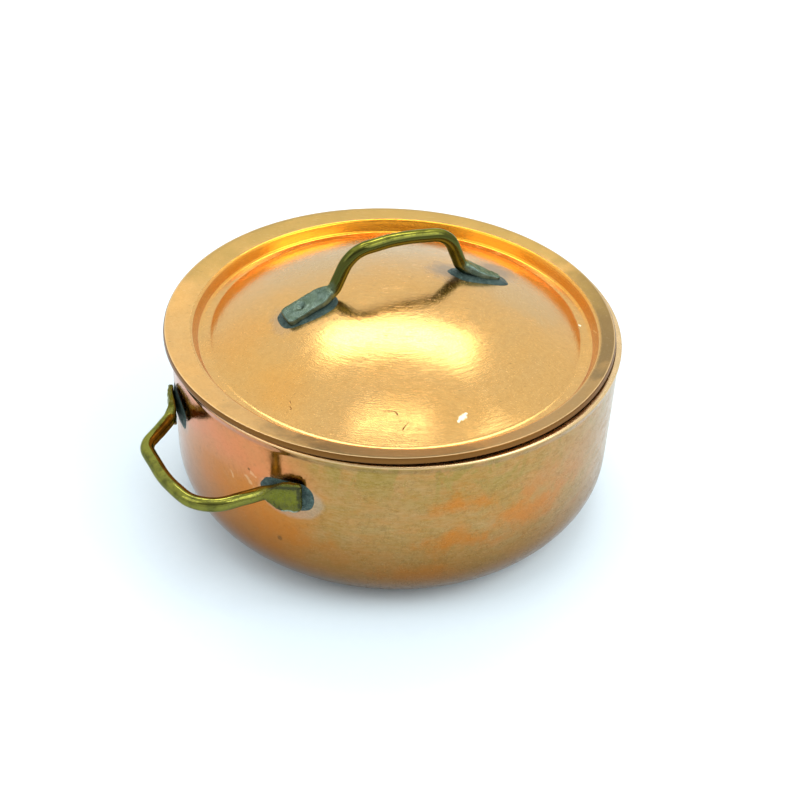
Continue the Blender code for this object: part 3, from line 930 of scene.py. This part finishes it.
def lid_copper():
    finish, tree, shader = new_finish("lid_copper")
    clouds = place_group(tree, oxide_clouds, {"Size": 0.012, "Seed": 11.0})
    fine_clouds = place_group(tree, oxide_clouds, {"Size": 0.0042, "Seed": 5.0})
    marks = place_group(tree, turning_marks, {"Fineness": 6000.0, "Break": 5.0})
    across = place_group(tree, ring_band, {"Inner": CREST_RADIUS + 0.0003, "Soft": 0.0002})
    brim, radius = across["Mask"], across["Radius"]
    lines = most(tree, [place_group(tree, hairline_scratches, {
        "Lean": lean, "Length": length, "Width": 0.00009, "Amount": amount,
    })["Line"] for lean, length, amount in ((0.72, 0.0035, 0.6), (0.95, 0.0018, 0.45), (2.1, 0.004, 0.25))])
    colour = blend_colour(tree, times(tree, clouds["Cloud"], 0.35), COPPER_GOLD, COPPER_DULL)
    colour = wash(tree, colour, (COPPER_TARNISH, fine_clouds["Mottle"], 0.2))
    dull = most(tree, [
        patch(tree, on_dome(-2.0e-3, 16.0e-3), 0.0130, 0.2, 0.3, 140.0),
        patch(tree, on_dome(7.0e-3, 13.0e-3), 0.0120, 0.2, 0.3, 140.0),
        times(tree, patch(tree, on_dome(17.0e-3, -8.0e-3), 0.0100, 0.2, 0.4, 180.0), 0.7),
    ])
    colour = wash(tree, colour, (COPPER_DULL, dull, 0.8))
    # Painted reflection: the orange of the well wall, reflected in the dome's left edge.
    well_wall_reflection = most(tree, [
        patch(tree, on_dome(-20.0e-3, 10.0e-3), 0.0075, 0.1, 0.3, 160.0),
        patch(tree, on_dome(-23.0e-3, -3.0e-3), 0.0060, 0.1, 0.3, 160.0),
    ])
    colour = wash(tree, colour, (COPPER_DEEP_ORANGE, well_wall_reflection, 0.22))
    # The back of the well wall in deep orange: partly its own redder colour, partly painted reflection of
    # copper in copper.
    from_wall = maths(tree, "ABSOLUTE", maths(tree, "SUBTRACT", radius, WELL_WALL_RADIUS))
    well_orange_and_reflection = ramp(tree, from_wall, 0.0004, 0.0009, 1.0, 0.0)
    well_orange_and_reflection = times(tree, well_orange_and_reflection, patch(tree, (0.0187, 0.0207, 0.026), 0.0440, 0.45, 0.1, 200.0))
    colour = wash(tree, colour, (COPPER_DEEP_ORANGE, well_orange_and_reflection, 0.9))
    grain = ramp(tree, fine_clouds["Grain"], 0.0, 1.0, 0.0, 0.22)
    colour = blend_colour(tree, grain, colour, COPPER_TARNISH)
    # Painted shade: the front and right of the brim darkened, for the dark surroundings it reflects there.
    front_brim_shade = most(tree, [
        patch(tree, (-0.0215, -0.0240, 0.027), 0.0210, 0.30, 0.3, 260.0),
        patch(tree, (0.0245, -0.0205, 0.027), 0.0240, 0.40, 0.3, 260.0),
        times(tree, patch(tree, (0.002, -0.029, 0.027), 0.0440, 0.40, 0.3, 260.0), 0.6),
    ])
    behind = patch(tree, (0.018, 0.022, 0.027), 0.046, 0.45, 0.2, 200.0)
    painted_brim_shade = times(tree, brim, front_brim_shade)
    colour = wash(tree, colour, (COPPER_STAIN_AND_SHADE, painted_brim_shade, 0.85), (COPPER_MATTE, times(tree, brim, behind), 0.85))
    # Painted highlight along the brim's top outer edge. Its cut edge and the underside near it are darkened,
    # partly the raw edge's own colour, partly painted shade of the gap.
    edge_highlight, cut_edge_and_gap_shade = (place_group(tree, ring_band, {
        "Inner": BRIM_RADIUS + beyond, "Soft": 0.00004, "Centre": tuple(BRIM_OFFSET),
    })["Mask"] for beyond in (-0.00012, 0.00003))
    bluing = most(tree, [times(tree, patch(
        tree, tuple(lid_seat(along, aside, 0.0)), reach, core, 0.25, 500.0), share,
    ) for along, aside, reach, core, share in (
        (0.0082, 0.0008, 0.0042, 0.2, 1.0),
        (0.0170, 0.0022, 0.0044, 0.2, 1.0),
        (-0.0160, 0.0, 0.0042, 0.3, 0.7),
    )])
    colour = wash(tree, colour, (COPPER_BLUED, bluing, 0.55), (COPPER_BRIGHT, lines, 0.3))
    nicks = place_group(tree, hairline_scratches, {
        "Lean": 0.55, "Length": 0.0014, "Width": 0.00012, "Amount": 0.55,
    })["Line"]
    colour = wash(tree, colour, (COPPER_STAIN_AND_SHADE, nicks, 0.55), (COPPER_BRIGHT, edge_highlight, 0.6))
    colour = blend_colour(tree, cut_edge_and_gap_shade, colour, COPPER_DARK_EDGE)
    scuff = most(tree, [place_group(tree, scratch, {
        "From": on_dome(*start), "To": on_dome(*end), "Width": 0.00009,
    })["Mask"] for start, end in (
        ((-15.4e-3, -15.5e-3), (-14.4e-3, -16.4e-3)),
        ((-14.4e-3, -16.4e-3), (-14.3e-3, -16.9e-3)),
        ((-15.2e-3, -18.9e-3), (-14.0e-3, -18.6e-3)),
        ((-23.0e-3, -5.2e-3), (-23.7e-3, -6.2e-3)),
    )])
    colour = wash(tree, colour, (COPPER_SCUFFED, scuff, 0.85))
    chips = most(tree, [place_group(tree, scratch, {
        "From": on_dome(*start), "To": on_dome(*end), "Width": width,
    })["Mask"] for start, end, width in (
        ((-8.4e-3, -22.2e-3), (-7.0e-3, -22.0e-3), 0.00030),
        ((-7.9e-3, -22.1e-3), (-7.3e-3, -22.1e-3), 0.00048),
        ((21.9e-3, -15.2e-3), (22.0e-3, -15.0e-3), 0.00020),
    )])
    colour = blend_colour(tree, chips, colour, COPPER_CHIPPED)
    rough = ramp(tree, clouds["Mottle"], 0.0, 1.0, 0.14, 0.21)
    rough = added(tree, rough, [
        (marks["Streak"], 0.05),
        (dull, 0.10),
        (brim, 0.14),
        (most(tree, [chips, bluing]), 0.25),
    ])
    normal = bump(tree, fine_clouds["Mottle"], 0.000003)
    normal = bump(tree, lines, -0.000010, normal)
    normal = bump(tree, scuff, -0.00003, normal)
    broad_marks = place_group(tree, turning_marks, {"Fineness": 1900.0, "Break": 7.0})["Height"]
    normal = bump(tree, broad_marks, 0.000020, normal)
    normal = bump(tree, marks["Height"], 0.000007, normal)
    join_finish(tree, shader, colour, rough, normal)
    return finish


lid = spin("lid", lid_profile(), LID_TURNS, lid_hand_work)
lid.data.materials.append(lid_copper())
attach(lid, "lid")
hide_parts("lid_shell")


# Lid handle: the same wire bent to an arch over the dome, its two paddles hammered narrower and
# thicker than the side handle's. One paddle has a punched dimple.
LID_ARCH_RISE = 0.0078
LID_ARCH_SHOULDER = (0.0074, 0.0070)
LID_LEG_FOOT = 0.0098
LID_FOOT_ENDS = (0.0171, 0.0156)
LID_PADDLES = ((0.0054, 0.0024, 0.0035, 0.0035), (0.0036, 0.0030, 0.0030, 0.0014))
LID_PADDLE_THICKNESS = 0.0010
RIGHT_PADDLE_SWING = 0.0013
RIGHT_PADDLE_DROOP = 0.00030
LEFT_PADDLE_SWING = 0.0003
DIMPLE_DEPTH = 0.00034
DIMPLE_LIP = 0.00014
LID_PAD_STAND = 0.00045
LID_FOOT_STAND = 0.00010
LID_PAD_CENTRE = 0.0137


def lid_route():
    seat = sum(lid_seat(side * LID_LEG_FOOT, 0.0, 0.0).z for side in (-1, 1)) / 2
    shoulder, shoulder_rise = LID_ARCH_SHOULDER
    rises = []
    for side, end in zip((-1, 1), LID_FOOT_ENDS):
        drop = seat - sum(lid_seat(way * end, 0.0, 0.0).z for way in (-1, 1)) / 2
        rises.append(LID_FOOT_STAND + LID_PADDLE_THICKNESS / 2 - drop)
    return rounded_line([
        (-LID_FOOT_ENDS[0], rises[0], 0.0),
        (-LID_LEG_FOOT, LID_PAD_STAND + WIRE / 2, 0.0016),
        (-shoulder, shoulder_rise, 0.0044),
        (0.0, LID_ARCH_RISE, 0.0200),
        (shoulder, shoulder_rise, 0.0040),
        (LID_LEG_FOOT, LID_PAD_STAND + WIRE / 2, 0.0016),
        (LID_FOOT_ENDS[1], rises[1], 0.0),
    ], 12)


def lid_arch_place(point, side):
    left, right = (lid_seat(end * LID_LEG_FOOT, 0.0, 0.0).z for end in (-1, 1))
    tilt = math.atan2(right - left, 2 * LID_LEG_FOOT)
    here = Matrix.Rotation(-tilt, 3, "Y") @ Vector((point.x, side, point.y))
    seat = Vector((0.0, 0.0, (left + right) / 2))
    return Matrix.Rotation(LID_HANDLE_TURN, 3, "Z") @ here + LID_HANDLE_SHIFT + seat


def arch_hand_work(share, from_end, flat, side, lift):
    where = Vector((share * 30.0, side / WIRE * 1.2, lift / WIRE * 1.2 + 20.0))
    ripple = noise.noise(where) * WIRE_RIPPLE
    facet = noise.noise(Vector((share * 60.0, side / WIRE * 2.5, 14.0))) * 0.00008 * flat
    dimple = 0.0
    if share < 0.5 and lift > 0.0:
        apart = math.hypot(side, from_end - 0.0026) / 0.00055
        dimple = -DIMPLE_DEPTH * math.exp(-apart ** 2) + DIMPLE_LIP * math.exp(-(apart - 1.7) ** 2 * 3)
    slip = noise.noise(Vector((share * 12.0, 19.0, 0.0))) * WIRE_DRIFT
    at_paddle = 1.0 - smooth_step(from_end / 0.006)
    if share < 0.5:
        return ripple + facet + dimple, slip - LEFT_PADDLE_SWING * at_paddle
    return ripple + facet - RIGHT_PADDLE_DROOP * at_paddle, slip - RIGHT_PADDLE_SWING * at_paddle


lid_arch = forge("lid_arch", lid_route(), lid_arch_place, LID_PADDLES, LID_PADDLE_THICKNESS, arch_hand_work)
lid_arch.data.materials.append(handle_brass(
    "lid_brass", [tuple(lid_seat(side * 0.0142, 0.0, 0.0005)) for side in (-1, 1)],
    foot_reach=0.0058, solder_film=0.8, underside_shade=1.0, gloss=0.18))
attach(lid_arch, "lid")
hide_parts("lid_handle")


# Lid handle's solder: the same soft solder, flooded under each paddle with the lid lying level. The
# right pool ran a little towards the front, and the farther from the handle's middle the more.
LID_POOL_THICKNESS = 0.00048


def dome_seat(centre, drift):
    """Lays a flat pattern on the dome: along the handle, across it and upward."""
    def seat(a, b, lift):
        return lid_seat(centre + a, b - drift - drift * a / 0.0044, lift)
    return seat


for node_name, centre, drift, size, seed in (
    ("lid_solder_left", -LID_PAD_CENTRE, 0.0, (0.0086, 0.0053), 5.0),
    ("lid_solder_right", LID_PAD_CENTRE - 0.0012, 0.0006, (0.0088, 0.0044), 6.0),
):
    puddle = pool(node_name + "_pool", size, LID_POOL_THICKNESS, dome_seat(centre, drift), seed)
    puddle.data.materials.append(old_solder)
    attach(puddle, "lid")
    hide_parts(node_name)


# Studio: a white sweep of paper in a bright room, a wide soft window behind and above, a strip light
# overhead, a soft fill on each side, and the camera looking down across the side handle.
FLOOR_HALF = 1.5
FLOOR_DROP = 0.00005
PAPER_COLOURS = ((0.83, 0.91, 0.96), (0.85, 0.93, 0.98))
ROOM_WHITE = (1.02, 1.12, 1.18)
SCREEN_GREY = (0.36, 0.39, 0.42)
LIGHT_REACH = 0.5
CAMERA_SIDE = math.radians(228.0)
CAMERA_PLACE = (-0.12431, -0.13806, 0.15146)
CAMERA_TURN = (53.308, -1.826, -40.946)
CAMERA_LENS = 71.07
CAMERA_FILM = 36.0


def floor_paper():
    finish, tree, shader = new_finish("white_paper", 0.0)
    fibres = add(tree, "ShaderNodeTexNoise", {
        "Vector": object_place(tree), "Scale": 900.0, "Detail": 4.0,
    }).outputs[0]
    tree.links.new(blend_colour(tree, fibres, *PAPER_COLOURS), shader.inputs["Base Color"])
    shader.inputs["Roughness"].default_value = 0.6
    return finish


def room():
    """Bright walls and ceiling, and one side dimmed by a grey screen that starts above the table."""
    world = bpy.data.worlds.new("white_room")
    world.use_nodes = True
    tree = world.node_tree
    parts = split(tree, add(tree, "ShaderNodeTexCoord").outputs["Generated"])
    towards = plus(tree, times(tree, parts[0], math.cos(CAMERA_SIDE)),
                   times(tree, parts[1], math.sin(CAMERA_SIDE)))
    dim = times(tree, ramp(tree, towards, 0.10, 0.75), ramp(tree, parts[2], 0.30, 0.60))
    colour = blend_colour(tree, dim, ROOM_WHITE, SCREEN_GREY)
    tree.links.new(colour, tree.nodes["Background"].inputs["Color"])
    bpy.context.scene.world = world


def soft_light(name, way, size, brightness, colour):
    """A rectangle of light facing the origin, from a way given by its turn and its rise."""
    turn, rise = (math.radians(angle) for angle in way)
    light = bpy.data.lights.new(name, "AREA")
    light.shape = "RECTANGLE"
    light.size, light.size_y = size
    light.energy = brightness * math.pi * size[0] * size[1]
    light.color = colour
    made = into_scene(name, light)
    flat = math.cos(rise)
    made.location = Vector((math.cos(turn) * flat, math.sin(turn) * flat, math.sin(rise))) * LIGHT_REACH
    made.rotation_euler = (-made.location).to_track_quat("-Z", "Y").to_euler()


floor_mesh = bpy.data.meshes.new("paper")
floor_corners = [(x * FLOOR_HALF, y * FLOOR_HALF, -FLOOR_DROP)
                 for x, y in ((-1, -1), (1, -1), (1, 1), (-1, 1))]
floor_mesh.from_pydata(floor_corners, [], [(0, 1, 2, 3)])
floor_mesh.materials.append(floor_paper())
floor = into_scene("paper", floor_mesh)

room()

for light_name, light_way, light_size, light_brightness, light_colour in (
    ("left_fill", (165.0, 45.0), (0.26, 0.26), 1.6, (0.95, 0.99, 1.0)),
    ("right_fill", (-70.0, 45.0), (0.34, 0.34), 3.2, (0.93, 0.99, 1.0)),
    ("window", (46.0, 61.0), (0.36, 0.12), 4.6, (1.0, 0.99, 0.96)),
    ("strip", (48.0, 93.5), (0.20, 0.024), 5.0, (1.0, 0.99, 0.97)),
):
    soft_light(light_name, light_way, light_size, light_brightness, light_colour)

camera = bpy.data.cameras.new("camera")
camera.lens = CAMERA_LENS
camera.sensor_width = CAMERA_FILM
camera.clip_start = 0.005
camera_stand = into_scene("camera", camera)
camera_stand.location = CAMERA_PLACE
camera_stand.rotation_euler = [math.radians(angle) for angle in CAMERA_TURN]
bpy.context.scene.camera = camera_stand
bpy.context.scene.view_settings.view_transform = "Standard"
